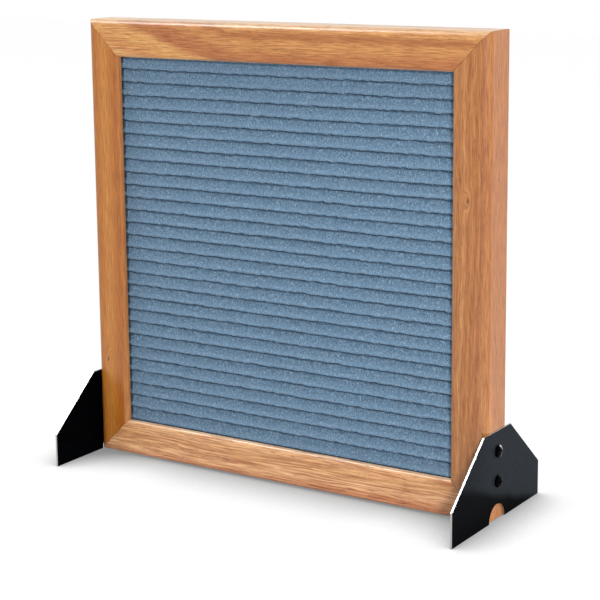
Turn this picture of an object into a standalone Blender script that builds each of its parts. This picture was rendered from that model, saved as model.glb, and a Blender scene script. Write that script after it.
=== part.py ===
"""Counter-top letter board: a mitred oak frame round a grooved felt panel, on two flat steel feet.

The board faces -Y and +Z is up. The origin is on the floor, under the middle of the frame.
Lengths are in metres. A depth is measured back from the frame's front face, and an inset is
measured inwards from the frame's outer edge.
"""

import math

import bmesh
import bpy

# Clearances and cutting
FIT_GAP = 0.0003
MITRE_GAP = 0.0002
CUT_OVERRUN = 0.002
WELD_DISTANCE = 0.00001
SHARP_ANGLE = math.radians(35)

# Oak moulding of the frame
FRAME_WIDTH = 0.305
FRAME_HEIGHT = 0.305
FRAME_DEPTH = 0.027
FACE_WIDTH = 0.025
OUTER_ROUND = 0.0055
BACK_EASE = 0.0008
INNER_ROUND = 0.003
LIP_FLAT = 0.0012
SHADOW_GAP_DEPTH = 0.0015
SHADOW_GAP_WIDTH = 0.0035
SEAT_WIDTH = 0.0055
ROUND_STEPS = 14

# Letter panel: a kerfed board under a felt skin that is tucked into every kerf
ROW_HEIGHT = 0.0088
ROW_LEAN = 0.0016
FELT_THICKNESS = 0.0009
LETTER_SLOT_WIDTH = 0.0007
LETTER_SLOT_DEPTH = 0.0032
CORE_WEB = 0.0032
FELT_BEND_STEPS = 5

# Back of the board
BACK_THICKNESS = 0.003
BACK_RECESS = 0.0022
BACK_SCREW_SHARES = (-0.8, 0.0, 0.8)
BACK_SCREW_BITE_SHARE = 0.7
BACK_SCREW_RADIUS = 0.0013
BACK_SCREW_HEAD_RADIUS = 0.0027
BACK_SCREW_HEAD_HEIGHT = 0.0016

# Steel nails that pull the mitres together, driven in from behind
NAIL_LEG = 0.0042
NAIL_THICKNESS = 0.0006
NAIL_HEIGHT = 0.010
NAIL_SINK = 0.0003
NAIL_HALF_ANGLE = math.radians(50)
NAIL_PLACE_SHARES = {"outer": 0.36, "inner": 0.88}

# Feet: flat steel plates
FOOT_LENGTH = 0.120
FOOT_HEIGHT = 0.058
FOOT_TOP_LENGTH = 0.0365
FOOT_END_HEIGHT = 0.0225
FOOT_THICKNESS = 0.0012
NOTCH_RADIUS = 0.0106
NOTCH_STEPS = 20

# Screws that hold the feet
FOOT_SCREW_PLACE_SHARES = {"lower": 0.314, "upper": 0.726}
FOOT_SCREW_BITE_SHARE = 0.8
FOOT_SCREW_RADIUS = 0.0021
FOOT_SCREW_HEAD_RADIUS = 0.0039
FOOT_SCREW_HEAD_HEIGHT = 0.0024

# What all the screws share: a pan head with a cross recess, and a pointed shank
SCREW_SIDES = 24
HEAD_DOME_STEPS = 6
HEAD_EDGE_SHARE = 0.35
SCREW_TIP_SHARE = 1.6
CROSS_REACH_SHARE = 0.58
CROSS_WIDTH_SHARE = 0.26
CROSS_DEPTH_SHARE = 0.7

# Sizes that follow from the ones above
lip_thickness = INNER_ROUND + LIP_FLAT
seat_depth = lip_thickness + SHADOW_GAP_DEPTH
rebate_width = SHADOW_GAP_WIDTH + SEAT_WIDTH
land_width = FACE_WIDTH - rebate_width
opening_height = FRAME_HEIGHT - 2 * FACE_WIDTH
panel_width = FRAME_WIDTH - 2 * (land_width + FIT_GAP)
panel_height = FRAME_HEIGHT - 2 * (land_width + FIT_GAP)

# The stack behind the lip, as depths
felt_front = seat_depth + FIT_GAP
felt_back = felt_front + FELT_THICKNESS
core_front = felt_back + FIT_GAP
core_back = core_front + LETTER_SLOT_DEPTH + CORE_WEB
strip_front = core_back + FIT_GAP
back_panel_rear = FRAME_DEPTH - BACK_RECESS
back_panel_front = back_panel_rear - BACK_THICKNESS
strip_back = back_panel_front - FIT_GAP
strip_width = rebate_width - FIT_GAP
strip_inset = land_width + FIT_GAP + strip_width / 2

half_width = FRAME_WIDTH / 2
mid_height = FRAME_HEIGHT / 2
opening_bottom, opening_top = FACE_WIDTH, FACE_WIDTH + opening_height
panel_bottom, panel_top = mid_height - panel_height / 2, mid_height + panel_height / 2
quarter_turn = math.pi / 2


def y_at(depth):
    """World Y of a depth behind the frame's front face."""
    return depth - FRAME_DEPTH / 2


def linear(hex_colour):
    """Linear RGBA of an sRGB hex colour."""
    shares = [int(hex_colour[start:start + 2], 16) / 255 for start in (1, 3, 5)]
    return [((share + 0.055) / 1.055) ** 2.4 if share > 0.04 else share / 12.92 for share in shares] + [1.0]


def finish(name, hex_colour, roughness, metallic=0.0):
    """A Principled material."""
    material = bpy.data.materials.new(name)
    material.use_nodes = True
    shader = material.node_tree.nodes["Principled BSDF"]
    shader.inputs["Base Color"].default_value = linear(hex_colour)
    shader.inputs["Roughness"].default_value = roughness
    shader.inputs["Metallic"].default_value = metallic
    material.diffuse_color = linear(hex_colour)
    return material


def arc(centre, radius, start, end, steps):
    """Points on a circle from one angle to another, both ends included."""
    first, second = centre
    angles = [start + (end - start) * step / steps for step in range(steps + 1)]
    return [(first + radius * math.cos(angle), second + radius * math.sin(angle)) for angle in angles]


def along_x(first, second, run):
    """An outline drawn in Y and Z, carried along X."""
    return run, first, second


def along_y(first, second, run):
    """An outline drawn in X and Z, carried along Y."""
    return first, run, second


def along_z(first, second, run):
    """An outline drawn in X and Y, carried along Z."""
    return first, second, run


def closed_mesh(name, bm):
    """Writes a closed bmesh to a mesh with its faces pointing out and its round parts smooth."""
    bmesh.ops.recalc_face_normals(bm, faces=bm.faces)
    mesh = bpy.data.meshes.new(name)
    bm.to_mesh(mesh)
    bm.free()
    mesh.shade_smooth()
    mesh.set_sharp_from_angle(angle=SHARP_ANGLE)
    return mesh


def ends_and_sides(bm, first_ring, last_ring):
    """Closes two matching rings into a solid, with a face on each end and a quad for each edge."""
    bm.faces.new(first_ring)
    bm.faces.new(last_ring)
    for index, (near, far) in enumerate(zip(first_ring, last_ring)):
        bm.faces.new((first_ring[index - 1], near, far, last_ring[index - 1]))


def prism(name, outline, low, high, direction):
    """A closed outline carried from low to high along one axis."""
    bm = bmesh.new()
    rings = [[bm.verts.new(direction(*point, run)) for point in outline] for run in (low, high)]
    ends_and_sides(bm, *rings)
    return closed_mesh(name, bm)


def rectangle(width, height):
    """The outline of a rectangle about the origin."""
    side, top = width / 2, height / 2
    return [(-side, -top), (side, -top), (side, top), (-side, top)]


def turned(name, profile):
    """A solid turned about Z. Its profile of (radius, height) starts and ends on the axis."""
    bm = bmesh.new()
    points = [bm.verts.new((radius, 0, height)) for radius, height in profile]
    edges = [bm.edges.new(pair) for pair in zip(points, points[1:])]
    bmesh.ops.spin(
        bm, geom=points + edges, cent=(0, 0, 0), axis=(0, 0, 1), angle=2 * math.pi, steps=SCREW_SIDES
    )
    bmesh.ops.remove_doubles(bm, verts=bm.verts, dist=WELD_DISTANCE)
    return closed_mesh(name, bm)


def placed(name, mesh, location=(0, 0, 0), turn_y=0, turn_z=0):
    """An object of the mesh, turned and set in its place."""
    piece = bpy.data.objects.new(name, mesh)
    bpy.context.scene.collection.objects.link(piece)
    piece.location = location
    piece.rotation_euler = (0, turn_y, turn_z)
    return piece


def part(name, mesh, material, location=(0, 0, 0), turn_y=0, turn_z=0):
    """A named piece of the board in its own finish."""
    piece = placed(name, mesh, location, turn_y, turn_z)
    if not mesh.materials:
        mesh.materials.append(material)
    piece.parent = board
    return piece


def cutter(name, mesh, location=(0, 0, 0), turn_y=0, turn_z=0):
    """A shape that only cuts others."""
    tool = placed(name, mesh, location, turn_y, turn_z)
    tool.hide_render = True
    tool.display_type = "WIRE"
    return tool


def cut(piece, tool):
    """Takes the tool's shape out of the piece."""
    modifier = piece.modifiers.new(tool.name, "BOOLEAN")
    modifier.operation = "DIFFERENCE"
    modifier.solver = "EXACT"
    modifier.object = tool


def baked(name, mesh, tool_mesh):
    """A mesh with the tool's shape taken out of it for good, so that copies can share it."""
    blank = placed(name + "_blank", mesh)
    tool = cutter(name + "_tool", tool_mesh)
    cut(blank, tool)
    graph = bpy.context.evaluated_depsgraph_get()
    result = bpy.data.meshes.new_from_object(blank.evaluated_get(graph))
    result.name = name
    bpy.data.objects.remove(blank)
    bpy.data.objects.remove(tool)
    return result


# Frame

def moulding_profile():
    """The oak section as (inset, depth): round arris, eased lip, shadow gap, panel rebate, rear land."""
    inner_edge = FACE_WIDTH
    outer_arris = arc((OUTER_ROUND, OUTER_ROUND), OUTER_ROUND, math.pi, 3 * quarter_turn, ROUND_STEPS)
    lip_arris = arc((inner_edge - INNER_ROUND, INNER_ROUND), INNER_ROUND, -quarter_turn, 0, ROUND_STEPS)
    back = [
        (inner_edge, lip_thickness),
        (inner_edge - SHADOW_GAP_WIDTH, lip_thickness),
        (inner_edge - SHADOW_GAP_WIDTH, seat_depth),
        (land_width, seat_depth),
        (land_width, FRAME_DEPTH),
        (BACK_EASE, FRAME_DEPTH),
        (0, FRAME_DEPTH - BACK_EASE),
    ]
    return outer_arris + lip_arris + back


def rail_mesh(name, length):
    """The moulding cut to length with a mitre at each end. It lies along X with its outer edge at Z 0."""
    setback = MITRE_GAP / math.sqrt(2)
    bm = bmesh.new()
    rings = []
    for side in (-1, 1):
        ring = []
        for inset, depth in moulding_profile():
            ring.append(bm.verts.new((side * (length / 2 - inset - setback), y_at(depth), inset)))
        rings.append(ring)
    ends_and_sides(bm, *rings)
    return closed_mesh(name, bm)


def make_frame(oak):
    """The four mitred rails, by name."""
    across = {"bottom_rail": (0, 0), "top_rail": (FRAME_HEIGHT, math.pi)}
    upright = {"left_stile": (-half_width, quarter_turn), "right_stile": (half_width, -quarter_turn)}
    rails = {}
    for name, (height, turn) in across.items():
        rails[name] = part(name, rail_mesh(name, FRAME_WIDTH), oak, (0, 0, height), turn)
    for name, (side, turn) in upright.items():
        rails[name] = part(name, rail_mesh(name, FRAME_HEIGHT), oak, (side, 0, mid_height), turn)
    return rails


def nail_outline(leg, thickness):
    """A V with its point at the origin and its legs open towards +X, either side of the mitre line."""
    half = thickness / 2
    point = half / math.sin(NAIL_HALF_ANGLE)
    reach = (leg * math.cos(NAIL_HALF_ANGLE), leg * math.sin(NAIL_HALF_ANGLE))
    across = (half * math.sin(NAIL_HALF_ANGLE), half * math.cos(NAIL_HALF_ANGLE))
    outer = (reach[0] - across[0], reach[1] + across[1])
    inner = (reach[0] + across[0], reach[1] - across[1])
    return [(-point, 0), (outer[0], -outer[1]), (inner[0], -inner[1]), (point, 0), inner, outer]


def make_corner_nails(rails, steel):
    """Two V nails in each mitre, sunk into slots that are open at the back of the frame."""
    nail_reach = NAIL_LEG * (math.cos(NAIL_HALF_ANGLE) + math.sin(NAIL_HALF_ANGLE)) / math.sqrt(2)
    free_width = land_width - nail_reach - NAIL_THICKNESS
    head = FRAME_DEPTH / 2 - NAIL_SINK
    foot = head - NAIL_HEIGHT
    nail = prism("corner_nail", nail_outline(NAIL_LEG, NAIL_THICKNESS), foot, head, along_y)
    slot_outline = nail_outline(NAIL_LEG + FIT_GAP, NAIL_THICKNESS + 2 * FIT_GAP)
    slot = prism("nail_slot", slot_outline, foot - FIT_GAP, FRAME_DEPTH / 2 + CUT_OVERRUN, along_y)
    corners = {
        "bottom_left": (-half_width, 0, -quarter_turn / 2, "left_stile"),
        "bottom_right": (half_width, 0, -3 * quarter_turn / 2, "right_stile"),
        "top_right": (half_width, FRAME_HEIGHT, 3 * quarter_turn / 2, "right_stile"),
        "top_left": (-half_width, FRAME_HEIGHT, quarter_turn / 2, "left_stile"),
    }
    for corner, (x, z, turn, stile) in corners.items():
        rail = "bottom_rail" if corner.startswith("bottom") else "top_rail"
        for place, share in NAIL_PLACE_SHARES.items():
            step = free_width * share
            spot = (x - math.copysign(step, x), 0, z + math.copysign(step, mid_height - z))
            part(f"corner_nail_{corner}_{place}", nail, steel, spot, turn)
            tool = cutter(f"nail_slot_{corner}_{place}", slot, spot, turn)
            cut(rails[stile], tool)
            cut(rails[rail], tool)


# Letter panel

def groove_heights():
    """Heights of the letter slots, which share the opening out into even rows."""
    rows = max(2, round(opening_height / ROW_HEIGHT))
    return [opening_bottom + opening_height * row / rows for row in range(1, rows)]


def felt_outline():
    """The felt's section as (Y, Z): up the front, into and out of each slot, then down the back.

    The rows lap like weatherboards: each stands out at its lower lip and leans back to its top.
    """
    half_slot = LETTER_SLOT_WIDTH / 2
    wall = half_slot + FELT_THICKNESS
    bend = FELT_THICKNESS
    front_low, back_low = y_at(felt_front), y_at(felt_back)
    front_high, back_high = front_low + ROW_LEAN, back_low + ROW_LEAN
    slot_floor = y_at(felt_front + LETTER_SLOT_DEPTH)
    fold = slot_floor + FELT_THICKNESS
    over = (math.pi, quarter_turn, FELT_BEND_STEPS)
    out = (-quarter_turn, -math.pi, FELT_BEND_STEPS)
    front = [(front_low, panel_bottom), (front_low, opening_bottom)]
    back = [(back_low, panel_bottom), (back_low, opening_bottom)]
    for height in groove_heights():
        front += arc((front_high + bend, height - half_slot - bend), bend, *over)
        front += [(slot_floor, height - half_slot), (slot_floor, height + half_slot)]
        front += arc((front_low + bend, height + half_slot + bend), bend, *out)
        back += [(back_high, height - wall), (fold, height - wall)]
        back += [(fold, height + wall), (back_low, height + wall)]
    front += [(front_high, opening_top), (front_high, panel_top)]
    back += [(back_high, opening_top), (back_high, panel_top)]
    return front + back[::-1]


def core_outline():
    """The board's section as (Y, Z), with rows that lean like the felt's.

    The saw kerf behind each slot takes both folds of felt.
    """
    half_kerf = LETTER_SLOT_WIDTH / 2 + FELT_THICKNESS + FIT_GAP
    rear = y_at(core_back)
    low = y_at(core_front)
    high = low + ROW_LEAN
    kerf_floor = y_at(core_front + LETTER_SLOT_DEPTH)
    outline = [(rear, panel_bottom), (low, panel_bottom), (low, opening_bottom)]
    for height in groove_heights():
        outline += [(high, height - half_kerf), (kerf_floor, height - half_kerf)]
        outline += [(kerf_floor, height + half_kerf), (low, height + half_kerf)]
    return outline + [(high, opening_top), (high, panel_top), (rear, panel_top)]


def make_letter_panel(felt, fibreboard):
    """The felt skin and the kerfed board that it is glued to."""
    half = panel_width / 2
    part("felt_facing", prism("felt_facing", felt_outline(), -half, half, along_x), felt)
    part("letterboard_core", prism("letterboard_core", core_outline(), -half, half, along_x), fibreboard)


# Back

def make_back(pine, hardboard):
    """The stop strips that hold the letter panel in its rebate, and the panel that closes the back."""
    upright_length = panel_height - 2 * (strip_width + FIT_GAP)
    low, high = y_at(strip_front), y_at(strip_back)
    across = prism("stop_strip_across", rectangle(panel_width, strip_width), low, high, along_y)
    upright = prism("stop_strip_upright", rectangle(strip_width, upright_length), low, high, along_y)
    side = half_width - strip_inset
    strips = {
        "bottom_stop_strip": part("bottom_stop_strip", across, pine, (0, 0, strip_inset)),
        "top_stop_strip": part("top_stop_strip", across, pine, (0, 0, FRAME_HEIGHT - strip_inset)),
        "left_stop_strip": part("left_stop_strip", upright, pine, (-side, 0, mid_height)),
        "right_stop_strip": part("right_stop_strip", upright, pine, (side, 0, mid_height)),
    }
    front, rear = y_at(back_panel_front), y_at(back_panel_rear)
    outline = rectangle(panel_width, panel_height)
    panel = prism("back_panel", outline, front, rear, along_y)
    return strips, part("back_panel", panel, hardboard, (0, 0, mid_height))


def back_screw_places():
    """(strip, x, z) of each screw: a row along the top and bottom strips and one half-way up each side."""
    places = []
    for strip, height in (("bottom", strip_inset), ("top", FRAME_HEIGHT - strip_inset)):
        places += [(strip, share * panel_width / 2, height) for share in BACK_SCREW_SHARES]
    side = half_width - strip_inset
    return places + [("left", -side, mid_height), ("right", side, mid_height)]


def cross_outline(reach, width):
    """A plus sign about the origin."""
    half = width / 2
    arm = [(half, half), (half, reach), (-half, reach), (-half, half)]
    outline = []
    for _ in range(4):
        outline += arm
        arm = [(-second, first) for first, second in arm]
    return outline


def cross_tool(head_radius, depth, top):
    """The cross-shaped driver's recess, sunk from the top of a head."""
    outline = cross_outline(head_radius * CROSS_REACH_SHARE, head_radius * CROSS_WIDTH_SHARE)
    return prism("cross_recess", outline, top - depth, top + CUT_OVERRUN, along_z)


def pan_head_screw(name, reach, radius, head_radius, head_height):
    """A screw with a domed head that sits on Z 0 and a shank that reaches down below it."""
    tip = min(radius * SCREW_TIP_SHARE, reach / 2)
    edge = head_height * HEAD_EDGE_SHARE
    crown = head_height - edge
    quarter = arc((0, 0), 1, 0, quarter_turn, HEAD_DOME_STEPS)
    dome = [(head_radius * across, edge + crown * up) for across, up in quarter[:-1]]
    shank = [(0, -reach), (radius, tip - reach), (radius, 0), (head_radius, 0)]
    mesh = turned(name, shank + dome + [(0, head_height)])
    return baked(name, mesh, cross_tool(head_radius, head_height * CROSS_DEPTH_SHARE, head_height))


def drill(name, radius, low, high, direction):
    """A round cutter for the hole round a screw's shank."""
    circle = arc((0, 0), radius + FIT_GAP, 0, 2 * math.pi, SCREW_SIDES)[:-1]
    return prism(name, circle, low, high, direction)


def make_back_screws(strips, panel, steel):
    """Pan-head screws through the back panel into the stop strips. Their axes point back, along +Y."""
    seat = back_panel_rear + FIT_GAP
    tip = strip_back - (strip_back - strip_front) * BACK_SCREW_BITE_SHARE
    head = (BACK_SCREW_HEAD_RADIUS, BACK_SCREW_HEAD_HEIGHT)
    screw = pan_head_screw("back_screw", seat - tip, BACK_SCREW_RADIUS, *head)
    low, high = y_at(tip - FIT_GAP), y_at(back_panel_rear + CUT_OVERRUN)
    hole = drill("back_screw_hole", BACK_SCREW_RADIUS, low, high, along_y)
    for number, (strip, x, z) in enumerate(back_screw_places(), 1):
        piece = part(f"back_screw_{number}", screw, steel, (x, y_at(seat), z))
        piece.rotation_euler = (-quarter_turn, 0, 0)
        tool = cutter(f"back_screw_hole_{number}", hole, (x, 0, z))
        cut(panel, tool)
        cut(strips[strip + "_stop_strip"], tool)


# Feet

def foot_outline():
    """A foot's outline as (Y, Z): long on the floor, short on top, notched in a half round below."""
    notch = arc((0, 0), NOTCH_RADIUS, math.pi, 0, NOTCH_STEPS)
    end, top = FOOT_LENGTH / 2, FOOT_TOP_LENGTH / 2
    rear = [(end, 0), (end, FOOT_END_HEIGHT), (top, FOOT_HEIGHT)]
    front = [(-top, FOOT_HEIGHT), (-end, FOOT_END_HEIGHT), (-end, 0)]
    return notch + rear + front


def make_feet(rails, coated_steel, black_steel):
    """A plate on the outside of each stile, held by two screws."""
    plate = prism("foot_plate", foot_outline(), 0, FOOT_THICKNESS, along_x)
    inner_face = half_width + FIT_GAP
    seat = inner_face + FOOT_THICKNESS + FIT_GAP
    reach = seat - half_width + land_width * FOOT_SCREW_BITE_SHARE
    head = (FOOT_SCREW_HEAD_RADIUS, FOOT_SCREW_HEAD_HEIGHT)
    screw = pan_head_screw("foot_screw", reach, FOOT_SCREW_RADIUS, *head)
    hole = drill("foot_screw_hole", FOOT_SCREW_RADIUS, -reach - FIT_GAP, CUT_OVERRUN, along_z)
    for side, sign in (("left", -1), ("right", 1)):
        turn = 0 if sign > 0 else math.pi
        foot = part(f"{side}_foot_plate", plate, coated_steel, (sign * inner_face, 0, 0), 0, turn)
        for level, share in FOOT_SCREW_PLACE_SHARES.items():
            height = NOTCH_RADIUS + (FOOT_HEIGHT - NOTCH_RADIUS) * share
            spot = (sign * seat, 0, height)
            part(f"{side}_foot_screw_{level}", screw, black_steel, spot, sign * quarter_turn)
            tool = cutter(f"{side}_foot_screw_hole_{level}", hole, spot, sign * quarter_turn)
            cut(foot, tool)
            cut(rails[f"{side}_stile"], tool)


for old in list(bpy.data.objects):
    bpy.data.objects.remove(old)

board = bpy.data.objects.new("letter_board", None)
bpy.context.scene.collection.objects.link(board)

frame_rails = make_frame(finish("oiled_oak", "#C88C5C", 0.45))
make_corner_nails(frame_rails, finish("nail_steel", "#A9ACB0", 0.35, 1.0))
make_letter_panel(finish("blue_felt", "#64829B", 0.95), finish("fibreboard", "#9A7B58", 0.85))
stop_strips, closing_panel = make_back(finish("pine", "#D9BC8C", 0.7), finish("hardboard", "#7A5638", 0.6))
make_back_screws(stop_strips, closing_panel, finish("zinc_plated_steel", "#C4C6C8", 0.3, 1.0))
coated_plate = finish("black_coated_steel", "#17191B", 0.2)
make_feet(frame_rails, coated_plate, finish("black_oxide_steel", "#0E0F10", 0.4, 0.6))
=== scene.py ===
"""Dresses the letter board: oiled red oak, blue felt in lapped rows and black steel feet, in studio light."""

import math

import bpy
import numpy as np
from mathutils import Matrix, Vector


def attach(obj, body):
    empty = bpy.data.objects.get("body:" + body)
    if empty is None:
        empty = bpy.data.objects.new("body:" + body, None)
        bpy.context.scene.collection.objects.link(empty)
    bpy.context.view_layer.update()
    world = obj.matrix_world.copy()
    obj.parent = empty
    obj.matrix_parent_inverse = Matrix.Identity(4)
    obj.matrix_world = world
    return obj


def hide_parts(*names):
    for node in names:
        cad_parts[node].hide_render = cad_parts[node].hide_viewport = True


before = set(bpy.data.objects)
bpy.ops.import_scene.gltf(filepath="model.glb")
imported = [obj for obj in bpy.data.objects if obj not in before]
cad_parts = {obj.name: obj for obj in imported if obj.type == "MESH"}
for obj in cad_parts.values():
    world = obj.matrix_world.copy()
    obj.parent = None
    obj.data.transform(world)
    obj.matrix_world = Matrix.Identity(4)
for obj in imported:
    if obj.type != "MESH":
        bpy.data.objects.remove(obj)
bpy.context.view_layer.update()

# Oak frame. Four lengths of one red-oak moulding, mitred and glued, the outer arris rounded over by
# the cutter, sanded along the grain and wiped with a warm oil. Each length comes from another board,
# so each has its own figure: a flame on the top rail, tight and wavy below, straight in the stiles.
OUTER_EDGE = {"bottom_rail": 0.0, "top_rail": 0.305, "left_stile": 0.1525, "right_stile": 0.1525}
ARRIS_WIDTH = 0.0018
LIP_START, LIP_END = 0.0239, 0.0248
PORE_WIDTH = 0.0006
KNOT_STRETCH = 3


def linear(hex_colour):
    """Linear RGBA of an sRGB hex colour."""
    shares = [int(hex_colour[start:start + 2], 16) / 255 for start in (1, 3, 5)]
    return [((share + 0.055) / 1.055) ** 2.4 if share > 0.04 else share / 12.92 for share in shares] + [1.0]


def add(owner, kind, inputs=None, output=0, stops=(), **settings):
    """Adds a node with its settings and a ramp's (place, colour) stops. An input is a value or another
    node's output, which is linked. Gives back one output: a name or a number, or none."""
    tree = owner.node_tree
    node = tree.nodes.new(kind)
    for name, value in settings.items():
        setattr(node, name, value)
    for extra in stops[2:]:
        node.color_ramp.elements.new(extra[0])
    for element, (place, hex_colour) in zip(node.color_ramp.elements if stops else (), stops):
        element.position = place
        element.color = linear(hex_colour)
    for key, value in (inputs or {}).items():
        if isinstance(value, bpy.types.NodeSocket):
            tree.links.new(value, node.inputs[key])
        else:
            node.inputs[key].default_value = value
    return node.outputs[output] if len(node.outputs) else None


def empty_tree(blocks, name):
    """A new material or world that has no nodes yet."""
    owner = blocks.new(name)
    owner.use_nodes = True
    owner.node_tree.nodes.clear()
    return owner


def dress(material, *beginnings):
    """Gives the CAD nodes whose names begin so this material."""
    for node_name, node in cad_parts.items():
        if node_name.startswith(beginnings):
            node.data.materials.clear()
            node.data.materials.append(material)


def oiled_oak(board, tilt, bend, swell, ripple, chart, tones, fibre, streaks, pores, outer_tone_and_sheen, inner_lip_highlight, seed,
              knots=()):
    """Oiled red oak: growth rings that a slow bend and a few swells carry across the face, fine fibre
    streaks and open pores along the grain. Oil fills the wood, so the gloss is low and soft."""
    oak = empty_tree(bpy.data.materials, "oiled_red_oak_" + board)
    place = add(oak, "ShaderNodeTexCoord", output="Object")
    along, across = ("Z", "X") if "stile" in board else ("X", "Z")
    inwards = 1 if board in ("bottom_rail", "left_stile") else -1
    run = add(oak, "ShaderNodeSeparateXYZ", {0: place}, along)
    depth = add(oak, "ShaderNodeSeparateXYZ", {0: place}, "Y")
    side = add(oak, "ShaderNodeSeparateXYZ", {0: place}, across)
    inset = add(oak, "ShaderNodeMath", {0: side, 1: inwards, 2: OUTER_EDGE[board]}, operation="MULTIPLY_ADD")
    grain = add(oak, "ShaderNodeCombineXYZ", {0: run, 1: inset, 2: depth})

    # Swells are 14 mm wide and 170 mm long, ripples 4 mm by 30 mm. Both push the rings sideways.
    fibre_line = inset
    for width, stretch, push in ((0.014, 12, swell), (0.004, 8, ripple)):
        way = add(oak, "ShaderNodeMapping",
                  {"Vector": grain, "Location": (seed, 0, 0), "Scale": (1 / stretch, 1, 1)})
        wave = add(oak, "ShaderNodeTexNoise", {"Vector": way, "Scale": 1 / width, "Detail": 1.0})
        wave = add(oak, "ShaderNodeMath", {0: wave, 1: 0.5}, operation="SUBTRACT")
        fibre_line = add(oak, "ShaderNodeMath", {0: wave, 1: push, 2: fibre_line}, operation="MULTIPLY_ADD")
    ring = add(oak, "ShaderNodeMath", {0: depth, 1: tilt, 2: fibre_line}, operation="MULTIPLY_ADD")
    start, end, shift = bend
    slide = add(oak, "ShaderNodeMapRange",
                {"Value": run, "From Min": start, "From Max": end, "To Max": shift})
    ring = add(oak, "ShaderNodeMath", {0: ring, 1: slide}, operation="SUBTRACT")

    # A knot is three times as long as it is wide. It turns the rings aside and leaves a dark eye.
    eyes = None
    for knot_run, knot_inset, reach in knots:
        off = add(oak, "ShaderNodeMapping", {"Vector": grain, "Scale": (1 / KNOT_STRETCH, 1, 0),
                                             "Location": (-knot_run / KNOT_STRETCH, -knot_inset, 0.0)})
        far = add(oak, "ShaderNodeVectorMath", {0: off}, "Value", operation="LENGTH")
        near = add(oak, "ShaderNodeMapRange", {"Value": far, "From Min": reach * 2.5, "From Max": 0.0},
                   interpolation_type="SMOOTHSTEP")
        aside = reach * 3
        ring = add(oak, "ShaderNodeMath", {0: near, 1: aside, 2: ring}, operation="MULTIPLY_ADD")
        fibre_line = add(oak, "ShaderNodeMath", {0: near, 1: aside, 2: fibre_line}, operation="MULTIPLY_ADD")
        eye = add(oak, "ShaderNodeMapRange",
                  {"Value": far, "From Min": reach * 0.5, "From Max": reach * 0.15})
        eyes = eye if eyes is None else add(oak, "ShaderNodeMath", {0: eyes, 1: eye}, operation="MAXIMUM")

    low, high = chart
    ring_share = add(oak, "ShaderNodeMapRange", {"Value": ring, "From Min": low, "From Max": high})
    tone = add(oak, "ShaderNodeValToRGB", {"Fac": ring_share}, stops=tones)

    # The outer side is mixed to another tone: paler on the top rail's top face, a painted sheen, and darker
    # orange on the right stile's outer side. The eased inner lip is painted paler, a painted highlight.
    tone_and_sheen_share, tone_and_sheen_colour = outer_tone_and_sheen
    for start, end, share, tone_sheen_or_highlight_colour in ((ARRIS_WIDTH, 0.0, tone_and_sheen_share, tone_and_sheen_colour),
                                       (LIP_START, LIP_END, inner_lip_highlight, "#FFE2BC")):
        edge = add(oak, "ShaderNodeMapRange",
                   {"Value": inset, "From Min": start, "From Max": end, "To Max": share},
                   interpolation_type="SMOOTHSTEP")
        tone = add(oak, "ShaderNodeMix", {0: edge, 6: tone, 7: linear(tone_sheen_or_highlight_colour)}, 2, data_type="RGBA")

    # Fibre streaks are 0.8 to 1.1 mm wide. Pores are drawn 0.6 mm wide and half as long, so that they show.
    bent = add(oak, "ShaderNodeCombineXYZ", {0: run, 1: fibre_line, 2: depth})
    marks = []
    fibre_width, fibre_stretch = fibre
    for width, stretch, low, high, strength in ((fibre_width, fibre_stretch, 0.36, 0.66, streaks),
                                                (PORE_WIDTH, fibre_stretch / 2, 0.53, 0.68, pores)):
        way = add(oak, "ShaderNodeMapping",
                  {"Vector": bent, "Location": (seed, 0, 0), "Scale": (1 / stretch, 1, 1)})
        mark = add(oak, "ShaderNodeTexNoise",
                   {"Vector": way, "Scale": 1 / width, "Detail": 3.0, "Roughness": 0.6})
        marks.append(add(oak, "ShaderNodeMapRange",
                         {"Value": mark, "From Min": low, "From Max": high, "To Max": strength}))
    streak, pore = marks
    tone = add(oak, "ShaderNodeMix", {0: streak, 6: tone, 7: linear("#A87850")}, 2, data_type="RGBA",
               blend_type="MULTIPLY")
    tone = add(oak, "ShaderNodeMix", {0: pore, 6: tone, 7: linear("#7C4E30")}, 2, data_type="RGBA",
               blend_type="MULTIPLY")
    if eyes is not None:
        tone = add(oak, "ShaderNodeMix", {0: eyes, 6: tone, 7: linear("#5A3218")}, 2, data_type="RGBA")
    height = add(oak, "ShaderNodeMath", {0: streak, 1: 0.4, 2: pore}, operation="MULTIPLY_ADD")
    relief = add(oak, "ShaderNodeBump", {"Strength": 0.25, "Distance": 0.0002, "Height": height}, "Normal",
                 invert=True)
    gloss = add(oak, "ShaderNodeMapRange", {"Value": pore, "To Min": 0.28, "To Max": 0.55})
    shader = add(oak, "ShaderNodeBsdfPrincipled",
                 {"Base Color": tone, "Roughness": gloss, "IOR": 1.52, "Normal": relief})
    add(oak, "ShaderNodeOutputMaterial", {"Surface": shader})
    return oak


# Each board's outer-side tone gives the top rail a painted sheen on its top face, and its inner-lip share
# paints a highlight along the inner lip.
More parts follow.
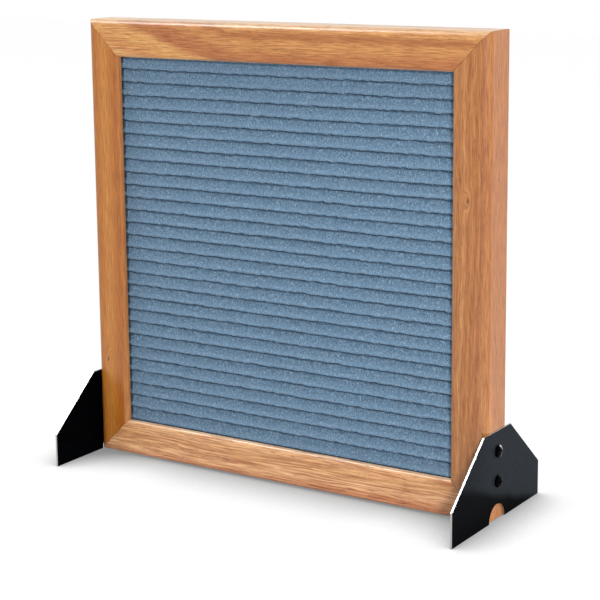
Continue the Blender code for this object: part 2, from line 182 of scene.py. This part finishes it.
OAK_BOARDS = {
    "top_rail": dict(
        tilt=0.3, bend=(-0.145, -0.035, 0.033), swell=0.003, ripple=0.0010, chart=(-0.036, 0.026),
        tones=[(0.0, "#E4AE70"), (0.05, "#D89E60"), (0.10, "#B87640"), (0.13, "#C07E46"), (0.17, "#D49858"),
               (0.24, "#CE9254"), (0.29, "#C27E48"), (0.36, "#BC7842"), (0.42, "#BC7642"), (0.48, "#DEA664"),
               (0.58, "#E4AC66"), (0.65, "#D89A5A"), (0.69, "#D89A5C"), (0.76, "#E2AC6C"), (1.0, "#E0A86E")],
        fibre=(0.0008, 18), streaks=0.65, pores=0.42, outer_tone_and_sheen=(0.5, "#FFE6C0"), inner_lip_highlight=0.25,
        seed=0.31),
    "bottom_rail": dict(
        tilt=0.3, bend=(-0.150, 0.150, 0.004), swell=0.006, ripple=0.003, chart=(-0.004, 0.028),
        tones=[(0.0, "#D8986C"), (0.08, "#E2A676"), (0.20, "#F4C290"), (0.5, "#E8B078"), (0.75, "#F2C08E"),
               (0.86, "#F0BC88"), (0.95, "#FFDCB0"), (1.0, "#FFE4C0")],
        fibre=(0.0011, 28), streaks=0.85, pores=0.55, outer_tone_and_sheen=(0.0, "#FFE6C0"), inner_lip_highlight=0.75,
        seed=1.7),
    "left_stile": dict(
        tilt=0.2, bend=(0.03, 0.12, 0.002), swell=0.003, ripple=0.0008, chart=(-0.008, 0.028),
        tones=[(0.0, "#B26C1E"), (0.16, "#B56F20"), (0.27, "#BE772E"), (0.34, "#C78034"), (0.42, "#CB883C"),
               (0.52, "#C88336"), (0.60, "#C0782C"), (0.70, "#B46B26"), (0.78, "#B8712C"), (0.86, "#C88642"),
               (1.0, "#D09050")],
        fibre=(0.0008, 17), streaks=0.5, pores=0.2, outer_tone_and_sheen=(0.0, "#FFE6C0"), inner_lip_highlight=0.05,
        seed=2.9, knots=[(0.0675, 0.0094, 0.0016)]),
    "right_stile": dict(
        tilt=0.06, bend=(0.0, 0.20, -0.005), swell=0.007, ripple=0.0022, chart=(-0.004, 0.028),
        tones=[(0.0, "#FFC080"), (0.13, "#FFB878"), (0.17, "#C88C56"), (0.31, "#BC7E4A"), (0.37, "#AE6C3C"),
               (0.44, "#BE8048"), (0.51, "#AE703A"), (0.58, "#C08248"), (0.66, "#B0723C"), (0.75, "#C88C54"),
               (0.85, "#B47640"), (1.0, "#BE824A")],
        fibre=(0.0008, 20), streaks=0.6, pores=0.4, outer_tone_and_sheen=(0.6, "#C87A30"), inner_lip_highlight=0.3,
        seed=4.4, knots=[(0.203, 0.0135, 0.0016)]),
}
for board_name, wood in OAK_BOARDS.items():
    dress(oiled_oak(board_name, **wood), board_name)

# Corner nails. Strips of hardened steel bent to a V and pressed into the back of each mitre,
# bright from rolling, so they catch the light as thin lines.
nail_steel = empty_tree(bpy.data.materials, "rolled_steel")
nail_shader = add(nail_steel, "ShaderNodeBsdfPrincipled",
                  {"Base Color": linear("#A9ACB0"), "Metallic": 1.0, "Roughness": 0.34})
add(nail_steel, "ShaderNodeOutputMaterial", {"Surface": nail_shader})
dress(nail_steel, "corner_nail")

# Letter board core. Medium-density fibreboard with saw kerfs, glued to the back of the felt and hidden
# by it: pale brown fibre with no grain.
fibreboard = empty_tree(bpy.data.materials, "sawn_fibreboard")
fibre_place = add(fibreboard, "ShaderNodeTexCoord", output="Object")
fibre_speck = add(fibreboard, "ShaderNodeTexNoise",
                  {"Vector": fibre_place, "Scale": 1 / 0.0006, "Detail": 4.0})
fibre_tone = add(fibreboard, "ShaderNodeValToRGB", {"Fac": fibre_speck},
                 stops=[(0.35, "#8A6B4A"), (0.65, "#A88862")])
fibre_shader = add(fibreboard, "ShaderNodeBsdfPrincipled", {"Base Color": fibre_tone, "Roughness": 0.9})
add(fibreboard, "ShaderNodeOutputMaterial", {"Surface": fibre_shader})
dress(fibreboard, "letterboard_core")

# Felt facing. One piece of blue-grey acrylic felt pressed over the rows and tucked into every slot. The rows
# lap like weatherboards: each one's lower lip stands out over the slot, and the next row begins in its shade.
# Next to the frame's lips the felt dips back into a crease. The felt's colour carries painted light: a
# painted highlight along each lower lip, dotted painted shade at the top of each row and on the slot floors,
# and painted shade in the crease.
ROWS = 29
OPENING_LOW, OPENING_HIGH = 0.025, 0.280
OPENING_HALF_WIDTH = 0.1275
FELT_HALF_WIDTH = 0.13595
FELT_LOW, FELT_HIGH = 0.01630, 0.28870
FELT_FACE_Y = -0.0075
FELT_THICKNESS = 0.0009
SLOT_WIDTH = 0.0011
SLOT_DEPTH = 0.0032
ROW_LEAN = 0.0016
CREASE_WIDTH, CREASE_DEPTH = 0.0003, 0.0002
OPEN_COLUMNS = 212
LIP_SHARE, TOP_SHARE = 0.12, 0.14
LIP_RADIUS, TOP_RADIUS = 0.0009, 0.0007
LEAN_POWER = 1.8
SWAY, FRAY, HILLS = 0.00008, 0.00024, 0.00005
SWAY_PASSES, FRAY_PASSES = 300, 1
FELT_SEED = 7
# Painted light on the felt: where the highlight lies and how wide, and how far and how dark the shade
# reaches.
HIGHLIGHT_AT, HIGHLIGHT_SPREAD = 0.22, 0.15
ROW_TOP_SHADE_REACH, ROW_TOP_SHADE, RAGGED = 0.10, 0.14, 0.16
SLOT_FLOOR_SHADE = -0.15


def wandering_lines(rng, lines, columns, passes):
    """Random offsets along each line, smoothed along it so many times and cut off at twice their spread."""
    offsets = rng.standard_normal((lines, columns))
    for _ in range(passes):
        padded = np.pad(offsets, ((0, 0), (1, 1)), mode="edge")
        offsets = (padded[:, :-2] + 2 * offsets + padded[:, 2:]) / 4
    return np.clip(offsets / offsets.std(), -2, 2)


def smooth_step(value, start, end):
    """0 at start, 1 at end, and 3t^2 - 2t^3 between them."""
    share = np.clip((value - start) / (end - start), 0, 1)
    return share ** 2 * (3 - 2 * share)


def felt_front():
    """Points (x, y, z) of the felt's front, from the bottom edge up, and the painted light there: above 0 for
    a painted highlight along a lower lip, and below 0 for painted shade at the top of a row, under the slot
    above, and in the crease. Each row rises out of the slot below over a quarter ellipse, leans back towards
    its top along a power curve, steepest at the lip, and turns into the slot above. Both edges of a slot
    wander with it, and each is frayed."""
    pitch = (OPENING_HIGH - OPENING_LOW) / ROWS
    share = np.array([0.0, 0.03, 0.07, 0.12, 0.20, 0.34, 0.52, 0.70, 0.82, 0.90, 0.95, 0.98, 1.0])
    row = np.arange(ROWS)[:, None]
    has_slot_below, has_slot_above = row > 0, row < ROWS - 1
    low = OPENING_LOW + pitch * row + has_slot_below * SLOT_WIDTH / 2
    high = OPENING_LOW + pitch * (row + 1) - has_slot_above * SLOT_WIDTH / 2
    near = np.clip(share / LIP_SHARE, 0, 1)
    far = np.clip((1 - share) / TOP_SHARE, 0, 1)
    rounded = (has_slot_below * LIP_RADIUS * (1 - np.sqrt(1 - (1 - near) ** 2))
               + has_slot_above * TOP_RADIUS * (1 - np.sqrt(1 - (1 - far) ** 2)))
    lean = ROW_LEAN * (1 - (1 - share) ** LEAN_POWER)

    margin = OPENING_HALF_WIDTH - np.array([0, 0.35, 0.65, 1.0]) * CREASE_WIDTH
    middle = np.linspace(-1, 1, OPEN_COLUMNS) * (OPENING_HALF_WIDTH - 1.6 * CREASE_WIDTH)
    x = np.concatenate([[-FELT_HALF_WIDTH], -margin, middle, margin[::-1], [FELT_HALF_WIDTH]])
    rng = np.random.default_rng(FELT_SEED)
    sway = SWAY * wandering_lines(rng, ROWS - 1, len(x), SWAY_PASSES)
    frayed_low = sway + FRAY * wandering_lines(rng, ROWS - 1, len(x), FRAY_PASSES)
    frayed_high = sway + FRAY * wandering_lines(rng, ROWS - 1, len(x), FRAY_PASSES)
    still = np.zeros((1, len(x)))
    bottom_edge = np.concatenate([still, frayed_low])[:, None]
    top_edge = np.concatenate([frayed_high, still])[:, None]
    z = ((low + (high - low) * share)[:, :, None] + (1 - share[:, None]) ** 2 * bottom_edge
         + share[:, None] ** 2 * top_edge)
    hills = HILLS * wandering_lines(rng, z.shape[0] * z.shape[1], len(x), FRAY_PASSES).reshape(z.shape)
    half_height = (OPENING_HIGH - OPENING_LOW) / 2
    at_sides = smooth_step(np.abs(x),
                           OPENING_HALF_WIDTH - CREASE_WIDTH, OPENING_HALF_WIDTH - CREASE_WIDTH / 3)
    at_ends = smooth_step(np.abs(z - (OPENING_LOW + OPENING_HIGH) / 2),
                          half_height - CREASE_WIDTH, half_height - CREASE_WIDTH / 3)
    crease = np.maximum(at_sides, at_ends)
    y = FELT_FACE_Y + hills + (1 - crease) * (rounded + lean)[:, :, None] + crease * CREASE_DEPTH
    # Painted shade at the top of each row, under the slot above, of ragged strength.
    painted_shade = np.exp(-((1 - share) / ROW_TOP_SHADE_REACH) ** 2)[:, None] * has_slot_above[:, :, None]
    ragged = wandering_lines(rng, z.shape[0] * z.shape[1], len(x), FRAY_PASSES).reshape(z.shape)
    # A painted highlight along each row's lower lip.
    row_lip_highlight = np.exp(-((share - HIGHLIGHT_AT) / HIGHLIGHT_SPREAD) ** 2)[:, None]
    # Painted light: above 0 a highlight, below 0 shade, and full painted shade in the crease.
    painted_light = row_lip_highlight - painted_shade * (ROW_TOP_SHADE + RAGGED * ragged) - crease

    def with_slot_floors(face, slot_start, slot_end):
        """The rows' arrays one above the other, with two lines for the floor of the slot between each two."""
        rows = np.concatenate([face[:-1], slot_start[:, None], slot_end[:, None]], axis=1).reshape(-1, len(x))
        return np.concatenate([face[0, :1], rows, face[-1], face[-1, -1:]])

    floor_y = np.full((ROWS - 1, len(x)), FELT_FACE_Y + SLOT_DEPTH)
    # A little painted shade on the slot floors.
    slot_floor_shade = np.full(floor_y.shape, SLOT_FLOOR_SHADE)
    y = with_slot_floors(y, floor_y, floor_y)
    painted_light = with_slot_floors(painted_light, slot_floor_shade, slot_floor_shade)
    z = with_slot_floors(z, z[:-1, -1], z[1:, 0])
    z[0], z[-1] = FELT_LOW, FELT_HIGH
    return np.stack([np.broadcast_to(x, y.shape), y, z], axis=-1), painted_light


def felt_back():
    """Points (y, z) of the felt's back, from the bottom edge up: straight folds one thickness behind."""
    pitch = (OPENING_HIGH - OPENING_LOW) / ROWS
    behind = FELT_FACE_Y + FELT_THICKNESS
    slot = OPENING_LOW + pitch * np.arange(1, ROWS)
    fold = SLOT_WIDTH / 2 + FELT_THICKNESS
    y = np.tile([behind + ROW_LEAN, behind + SLOT_DEPTH, behind + SLOT_DEPTH, behind], ROWS - 1)
    z = np.stack([slot - fold, slot - fold, slot + fold, slot + fold], axis=-1).ravel()
    return np.stack([np.concatenate([[behind, behind], y, [behind + ROW_LEAN] * 2]),
                     np.concatenate([[FELT_LOW, OPENING_LOW], z, [OPENING_HIGH, FELT_HIGH]])], axis=-1)


def closed_skin(front, back_line):
    """Vertices and faces of a closed skin: the front as a grid of quads, the back as one strip of quads
    across its whole width, and one many-sided face along each edge."""
    rows, columns, _ = front.shape
    back = np.stack([np.insert(back_line, 0, side, axis=1) for side in (-FELT_HALF_WIDTH, FELT_HALF_WIDTH)],
                    axis=1)
    face = np.arange(rows * columns).reshape(rows, columns)
    under = rows * columns + np.arange(back.shape[0] * 2).reshape(-1, 2)
    grid = np.stack([face[:-1, :-1], face[:-1, 1:], face[1:, 1:], face[1:, :-1]], axis=-1).reshape(-1, 4)
    strip = np.stack([under[:-1, 0], under[1:, 0], under[1:, 1], under[:-1, 1]], axis=-1)
    edges = [np.concatenate(line).tolist() for line in (
        (face[:, 0], under[::-1, 0]), (face[::-1, -1], under[:, 1]),
        (face[0, ::-1], under[0]), (face[-1], under[-1, ::-1]))]
    vertices = np.concatenate([front.reshape(-1, 3), back.reshape(-1, 3)])
    return vertices, grid.tolist() + strip.tolist() + edges


def mesh_object(name, vertices, faces, material):
    """A smooth mesh object at the origin."""
    mesh = bpy.data.meshes.new(name)
    mesh.from_pydata(vertices.tolist(), [], faces)
    mesh.polygons.foreach_set("use_smooth", np.full(len(mesh.polygons), True))
    mesh.materials.append(material)
    thing = bpy.data.objects.new(name, mesh)
    bpy.context.scene.collection.objects.link(thing)
    return thing


def needled_felt():
    """Needle-punched acrylic felt: matted fibre with no weave, flecked paler where fibre ends stand up, with
    a soft sheen and no gloss. Its colour carries painted light kept on the mesh: a painted highlight along
    the rows' lower lips, painted shade dotted along the top of each row and on the slot floors, and darker
    painted shade in the crease at the frame. The fibre is drawn 0.8 mm wide so that it shows."""
    wool = empty_tree(bpy.data.materials, "needled_acrylic_felt")
    place = add(wool, "ShaderNodeTexCoord", output="Object")
    combed = add(wool, "ShaderNodeMapping", {"Vector": place, "Scale": (1, 1, 0.65)})
    mottle = add(wool, "ShaderNodeTexNoise",
                 {"Vector": place, "Scale": 1 / 0.0022, "Detail": 3.0, "Roughness": 0.7})
    fibre = add(wool, "ShaderNodeTexNoise",
                {"Vector": combed, "Scale": 1 / 0.0008, "Detail": 2.0, "Roughness": 0.8})
    tone = add(wool, "ShaderNodeValToRGB", {"Fac": mottle},
               stops=[(0.3, "#547087"), (0.5, "#617D95"), (0.7, "#6D89A1")])
    fleck = add(wool, "ShaderNodeMapRange",
                {"Value": fibre, "From Min": 0.56, "From Max": 0.72, "To Max": 0.8})
    tone = add(wool, "ShaderNodeMix", {0: fleck, 6: tone, 7: linear("#AFC4D4")}, 2, data_type="RGBA")
    shade = add(wool, "ShaderNodeMapRange",
                {"Value": fibre, "From Min": 0.46, "From Max": 0.30, "To Max": 0.8})
    tone = add(wool, "ShaderNodeMix", {0: shade, 6: tone, 7: linear("#3A556C")}, 2, data_type="RGBA")
    # Painted light kept on the mesh: above 0 a painted highlight, below 0 painted shade.
    painted_light = add(wool, "ShaderNodeAttribute", output="Fac", attribute_name="painted_light")
    # Painted highlight along the rows' lower lips.
    row_lip_highlight = add(wool, "ShaderNodeMapRange", {"Value": painted_light, "To Max": 0.22})
    tone = add(wool, "ShaderNodeMix", {0: row_lip_highlight, 6: tone, 7: linear("#90B0CE")}, 2, data_type="RGBA")
    # Painted shade, dotted by the fibre, at the top of each row, on the slot floors and in the crease.
    shade_dots = add(wool, "ShaderNodeMapRange",
                 {"Value": fibre, "From Min": 0.62, "From Max": 0.38, "To Max": 2.0})
    painted_shade = add(wool, "ShaderNodeMath", {0: painted_light, 1: shade_dots}, operation="MULTIPLY")
    painted_shade = add(wool, "ShaderNodeMapRange",
                 {"Value": painted_shade, "From Min": -1.0, "From Max": 0.0, "To Min": 0.8, "To Max": 0.0})
    # More painted shade where the value is lowest, in the crease at the frame.
    crease_shade = add(wool, "ShaderNodeMapRange",
                  {"Value": painted_light, "From Min": -1.0, "From Max": -0.4, "To Min": 0.8, "To Max": 0.0})
    dark = add(wool, "ShaderNodeMath", {0: painted_shade, 1: crease_shade}, operation="MAXIMUM")
    tone = add(wool, "ShaderNodeMix", {0: dark, 6: tone, 7: linear("#16222E")}, 2, data_type="RGBA")
    relief = add(wool, "ShaderNodeBump", {"Strength": 0.6, "Distance": 0.0004, "Height": fibre}, "Normal")
    shader = add(wool, "ShaderNodeBsdfPrincipled",
                 {"Base Color": tone, "Roughness": 1.0, "Specular IOR Level": 0.1, "Sheen Weight": 0.2,
                  "Sheen Roughness": 0.5, "Normal": relief})
    add(wool, "ShaderNodeOutputMaterial", {"Surface": shader})
    return wool


felt_points, felt_painted_light = felt_front()
felt_skin, felt_faces = closed_skin(felt_points, felt_back())
felt = mesh_object("felt_cover", felt_skin, felt_faces, needled_felt())
# The felt's painted light goes onto the mesh, for its material to read.
painted_light_values = felt.data.attributes.new("painted_light", "FLOAT", "POINT")
back_painted_light = np.zeros(len(felt_skin) - felt_painted_light.size)
painted_light_values.data.foreach_set("value", np.append(felt_painted_light, back_painted_light).astype(np.float32))
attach(felt, "root")
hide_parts("felt_facing")

# Stop strips. Four lengths of planed pine, glued and bradded into the rebate behind the letter panel, which
# they hold. They are closed in by the back panel, and their wood is pale and plain.
pine = empty_tree(bpy.data.materials, "planed_pine")
pine_place = add(pine, "ShaderNodeTexCoord", output="Object")
pine_figure = add(pine, "ShaderNodeTexNoise", {"Vector": pine_place, "Scale": 1 / 0.004, "Detail": 2.0})
pine_tone = add(pine, "ShaderNodeValToRGB", {"Fac": pine_figure},
                stops=[(0.35, "#C9A871"), (0.65, "#E2C898")])
pine_shader = add(pine, "ShaderNodeBsdfPrincipled", {"Base Color": pine_tone, "Roughness": 0.7})
add(pine, "ShaderNodeOutputMaterial", {"Surface": pine_shader})
dress(pine, "bottom_stop", "top_stop", "left_stop", "right_stop")

# Back panel. Tempered hardboard let into the back of the frame, smooth side out: dark brown, faintly
# mottled by its fibres, with the dull shine of the pressed face.
hardboard = empty_tree(bpy.data.materials, "tempered_hardboard")
panel_place = add(hardboard, "ShaderNodeTexCoord", output="Object")
speckle = add(hardboard, "ShaderNodeTexNoise",
              {"Vector": panel_place, "Scale": 1 / 0.0012, "Detail": 5.0, "Roughness": 0.7})
cloud = add(hardboard, "ShaderNodeTexNoise", {"Vector": panel_place, "Scale": 1 / 0.03, "Detail": 2.0})
cloud = add(hardboard, "ShaderNodeMapRange", {"Value": cloud, "To Max": 0.35})
panel_tone = add(hardboard, "ShaderNodeValToRGB", {"Fac": speckle},
                 stops=[(0.3, "#63432A"), (0.5, "#7A5638"), (0.72, "#946E4A")])
panel_tone = add(hardboard, "ShaderNodeMix", {0: cloud, 6: panel_tone, 7: linear("#6A482E")}, 2,
                 data_type="RGBA")
panel_shader = add(hardboard, "ShaderNodeBsdfPrincipled", {"Base Color": panel_tone, "Roughness": 0.5})
add(hardboard, "ShaderNodeOutputMaterial", {"Surface": panel_shader})
dress(hardboard, "back_panel")

# Back screws. Eight pan heads with a cross recess, which hold the back panel. They are steel with bright
# zinc plate, smooth enough to mirror the lamps.
zinc = empty_tree(bpy.data.materials, "bright_zinc_plate")
zinc_shader = add(zinc, "ShaderNodeBsdfPrincipled",
                  {"Base Color": linear("#C4C6C8"), "Metallic": 1.0, "Roughness": 0.3})
add(zinc, "ShaderNodeOutputMaterial", {"Surface": zinc_shader})
dress(zinc, "back_screw")

# Feet. Steel plate coated gloss black and then cut out, so the cut edges are bare satin steel. A painted
# reflection lightens the coat on the upper rear part of each outer face, broken up by fine noise, half as
# strong towards the front, and fades out towards the floor.
REFLECTION_LOW, REFLECTION_HIGH = 0.013, 0.021
REFLECTION_SLOPE, REFLECTION_DRIFT = 0.32, 0.006
FADED_FRONT, FADED_REAR = -0.045, -0.005
OUTER_FACE_X = 0.1535
CUT_EDGE_TURN = 0.3
coated = empty_tree(bpy.data.materials, "black_coated_steel")
coat_place = add(coated, "ShaderNodeTexCoord", output="Object")
facing = add(coated, "ShaderNodeNewGeometry", output="True Normal")
sideways = add(coated, "ShaderNodeSeparateXYZ", {0: facing}, "X")
sideways = add(coated, "ShaderNodeMath", {0: sideways}, operation="ABSOLUTE")
bare = add(coated, "ShaderNodeMath", {0: sideways, 1: CUT_EDGE_TURN}, operation="LESS_THAN")
level = add(coated, "ShaderNodeSeparateXYZ", {0: coat_place}, "Z")
outwards = add(coated, "ShaderNodeSeparateXYZ", {0: coat_place}, "X")
outwards = add(coated, "ShaderNodeMath", {0: outwards}, operation="ABSOLUTE")
rearwards = add(coated, "ShaderNodeSeparateXYZ", {0: coat_place}, "Y")
level = add(coated, "ShaderNodeMath", {0: rearwards, 1: REFLECTION_SLOPE, 2: level}, operation="MULTIPLY_ADD")
drift = add(coated, "ShaderNodeTexNoise", {"Vector": coat_place, "Scale": 1 / 0.018, "Detail": 2.0})
drift = add(coated, "ShaderNodeMath", {0: drift, 1: 0.5}, operation="SUBTRACT")
level = add(coated, "ShaderNodeMath", {0: drift, 1: REFLECTION_DRIFT, 2: level}, operation="MULTIPLY_ADD")
painted_reflection = add(coated, "ShaderNodeMapRange", {"Value": level, "From Min": REFLECTION_LOW, "From Max": REFLECTION_HIGH},
           interpolation_type="SMOOTHSTEP")
fading = add(coated, "ShaderNodeMapRange",
             {"Value": rearwards, "From Min": FADED_FRONT, "From Max": FADED_REAR, "To Min": 0.5})
painted_reflection = add(coated, "ShaderNodeMath", {0: painted_reflection, 1: fading}, operation="MULTIPLY")
outside = add(coated, "ShaderNodeMath", {0: outwards, 1: OUTER_FACE_X}, operation="GREATER_THAN")
painted_reflection = add(coated, "ShaderNodeMath", {0: painted_reflection, 1: outside}, operation="MULTIPLY")
reflection_breakup = add(coated, "ShaderNodeTexNoise", {"Vector": coat_place, "Scale": 1 / 0.0012, "Detail": 2.0})
reflection_breakup = add(coated, "ShaderNodeMapRange", {"Value": reflection_breakup, "From Min": 0.3, "From Max": 0.7, "To Min": 0.7})
painted_reflection = add(coated, "ShaderNodeMath", {0: painted_reflection, 1: reflection_breakup}, operation="MULTIPLY")
# The painted reflection mixes the coat's black towards grey.
coat_tone = add(coated, "ShaderNodeMix", {0: painted_reflection, 6: linear("#020306"), 7: linear("#2E3338")}, 2,
                data_type="RGBA")
coat_tone = add(coated, "ShaderNodeMix", {0: bare, 6: coat_tone, 7: linear("#B4B3B4")}, 2, data_type="RGBA")
coat_gloss = add(coated, "ShaderNodeMapRange", {"Value": bare, "To Min": 0.14, "To Max": 0.32})
coat_shader = add(coated, "ShaderNodeBsdfPrincipled",
                  {"Base Color": coat_tone, "Metallic": bare, "Roughness": coat_gloss,
                   "Specular IOR Level": 0.008})
add(coated, "ShaderNodeOutputMaterial", {"Surface": coat_shader})
dress(coated, "left_foot_plate", "right_foot_plate")

# Foot screws. Pan heads in black oxide over steel. The upper ones carry a painted glint: a patch of bare,
# metallic steel along the rear of their rims, broken up by noise.
UPPER_SCREWS_ABOVE = 0.036
oxide = empty_tree(bpy.data.materials, "black_oxide_steel")
oxide_place = add(oxide, "ShaderNodeTexCoord", output="Object")
oxide_height = add(oxide, "ShaderNodeSeparateXYZ", {0: oxide_place}, "Z")
rim_facing = add(oxide, "ShaderNodeNewGeometry", output="Normal")
rim_outwards = add(oxide, "ShaderNodeSeparateXYZ", {0: rim_facing}, "X")
rim_outwards = add(oxide, "ShaderNodeMath", {0: rim_outwards}, operation="ABSOLUTE")
rim_rearwards = add(oxide, "ShaderNodeSeparateXYZ", {0: rim_facing}, "Y")
# The painted glint lies on the upper screws' rims, at their rear.
on_rim = add(oxide, "ShaderNodeMapRange", {"Value": rim_outwards, "From Min": 0.99, "From Max": 0.93})
at_rear = add(oxide, "ShaderNodeMapRange", {"Value": rim_rearwards, "From Min": -0.02, "From Max": 0.08})
on_upper = add(oxide, "ShaderNodeMath", {0: oxide_height, 1: UPPER_SCREWS_ABOVE}, operation="GREATER_THAN")
painted_glint = add(oxide, "ShaderNodeMath", {0: on_rim, 1: at_rear}, operation="MULTIPLY")
painted_glint = add(oxide, "ShaderNodeMath", {0: painted_glint, 1: on_upper}, operation="MULTIPLY")
glint_breakup = add(oxide, "ShaderNodeTexNoise", {"Vector": oxide_place, "Scale": 1 / 0.0012, "Detail": 2.0})
glint_breakup = add(oxide, "ShaderNodeMapRange", {"Value": glint_breakup, "From Min": 0.36, "From Max": 0.48})
painted_glint = add(oxide, "ShaderNodeMath", {0: painted_glint, 1: glint_breakup}, operation="MULTIPLY")
oxide_tone = add(oxide, "ShaderNodeMix", {0: painted_glint, 6: linear("#010102"), 7: linear("#C8C0C2")}, 2,
                 data_type="RGBA")
oxide_shader = add(oxide, "ShaderNodeBsdfPrincipled",
                   {"Base Color": oxide_tone, "Metallic": painted_glint, "Roughness": 0.2, "Specular IOR Level": 0.02})
add(oxide, "ShaderNodeOutputMaterial", {"Surface": oxide_shader})
dress(oxide, "left_foot_screw", "right_foot_screw")

# Floor. A white table top. It shows white to the camera and in reflections. Where the board and its feet
# stand on it, it carries painted shade: the white glow is darkened by ambient occlusion, and only its faint
# matt part takes real shadows.
FLOOR_HALF_WIDTH = 4.0
FLOOR_GLOW = 0.955
table = empty_tree(bpy.data.materials, "white_table_top")
table_place = add(table, "ShaderNodeTexCoord", output="Object")
from_middle = add(table, "ShaderNodeSeparateXYZ", {0: table_place}, "X")
from_middle = add(table, "ShaderNodeMath", {0: from_middle}, operation="ABSOLUTE")
# The painted shade reaches out 70 mm under the middle of the frame and 40 mm at the feet.
shade_reach = add(table, "ShaderNodeMapRange",
                  {"Value": from_middle, "From Min": 0.06, "From Max": 0.15, "To Min": 0.07, "To Max": 0.04})
straight = add(table, "ShaderNodeLightPath", output="Is Camera Ray")
mirrored = add(table, "ShaderNodeLightPath", output="Is Glossy Ray")
seen = add(table, "ShaderNodeMath", {0: straight, 1: mirrored}, operation="MAXIMUM")
openness = add(table, "ShaderNodeAmbientOcclusion", {"Distance": shade_reach}, "AO", samples=8)
shade = add(table, "ShaderNodeMapRange",
            {"Value": openness, "From Min": 0.38, "From Max": 0.93, "To Min": 0.26})
glow = add(table, "ShaderNodeEmission", {"Color": (1, 1, 1, 1), "Strength": FLOOR_GLOW})
matt = add(table, "ShaderNodeBsdfDiffuse", {"Color": (0.1, 0.1, 0.1, 1)})
look = add(table, "ShaderNodeAddShader", {0: glow, 1: matt})
dark = add(table, "ShaderNodeEmission", {"Color": (0, 0, 0, 1), "Strength": 0.0})
look = add(table, "ShaderNodeMixShader", {0: shade, 1: dark, 2: look})
plain = add(table, "ShaderNodeBsdfDiffuse", {"Color": (0.92, 0.92, 0.92, 1)})
look = add(table, "ShaderNodeMixShader", {0: seen, 1: plain, 2: look})
add(table, "ShaderNodeOutputMaterial", {"Surface": look})
floor_corners = FLOOR_HALF_WIDTH * np.array([(-1, -1, 0), (1, -1, 0), (1, 1, 0), (-1, 1, 0)])
mesh_object("floor", floor_corners, [(0, 1, 2, 3)], table)

# Light. A white room with a main lamp in front, a little to the right of the camera and above it, which
# leaves a thin line of shade under the frame's lip, a small bright one high on the left, which draws the
# highlights along the arrises, and a wide one behind on the right, for the outer side and the back.
FILL = 0.35
BOARD_MIDDLE = (0, 0, 0.15)
room = empty_tree(bpy.data.worlds, "white_room")
straight = add(room, "ShaderNodeLightPath", output="Is Camera Ray")
mirrored = add(room, "ShaderNodeLightPath", output="Is Glossy Ray")
through = add(room, "ShaderNodeLightPath", output="Is Transmission Ray")
seen = add(room, "ShaderNodeMath", {0: straight, 1: mirrored}, operation="MAXIMUM")
seen = add(room, "ShaderNodeMath", {0: seen, 1: through}, operation="MAXIMUM")
strength = add(room, "ShaderNodeMapRange", {"Value": seen, "To Min": FILL, "To Max": 1.0})
backdrop = add(room, "ShaderNodeBackground", {"Color": (1, 1, 1, 1), "Strength": strength})
add(room, "ShaderNodeOutputWorld", {"Surface": backdrop})
bpy.context.scene.world = room


def soft_lamp(name, size, watts, place, target):
    """A square area lamp aimed at a point."""
    lamp = bpy.data.lights.new(name, "AREA")
    lamp.size = size
    lamp.energy = watts
    thing = bpy.data.objects.new(name, lamp)
    bpy.context.scene.collection.objects.link(thing)
    thing.location = place
    thing.rotation_mode = "QUATERNION"
    thing.rotation_quaternion = (Vector(place) - Vector(target)).to_track_quat("Z", "Y")


soft_lamp("front_lamp", 0.2, 20.7, (1.19, -1.32, 0.80), BOARD_MIDDLE)
soft_lamp("high_lamp", 0.5, 22, (-1.16, -0.34, 1.95), BOARD_MIDDLE)
soft_lamp("rear_lamp", 1.0, 13.5, (0.855, 1.5, 0.9), BOARD_MIDDLE)

# Camera. Fitted to the photograph: turned 33 degrees to the board's right and 11 above it, through a
# long lens. The small downward shift stands for part of the photograph's straightened uprights.
AZIMUTH, ELEVATION, ROLL = 0.57291963, 0.18621672, -0.00985737
EYE = (0.612840, -0.935214, 0.374461)
FOCAL_PIXELS = 1735.07
IMAGE_PIXELS = 600
AXIS_ROW = 240
forward = Vector((-math.sin(AZIMUTH) * math.cos(ELEVATION), math.cos(AZIMUTH) * math.cos(ELEVATION),
                  -math.sin(ELEVATION)))
level_right = Vector((math.cos(AZIMUTH), math.sin(AZIMUTH), 0))
level_up = level_right.cross(forward)
right = level_right * math.cos(ROLL) + level_up * math.sin(ROLL)
up = right.cross(forward)
lens = bpy.data.cameras.new("camera")
lens.sensor_width = 36
lens.lens = lens.sensor_width * FOCAL_PIXELS / IMAGE_PIXELS
lens.shift_y = (AXIS_ROW - IMAGE_PIXELS / 2) / IMAGE_PIXELS
lens.clip_start = 0.05
camera = bpy.data.objects.new("camera", lens)
camera.matrix_world = Matrix.Translation(EYE) @ Matrix((right, up, -forward)).transposed().to_4x4()
bpy.context.scene.collection.objects.link(camera)
bpy.context.scene.camera = camera
bpy.context.scene.view_settings.view_transform = "Standard"
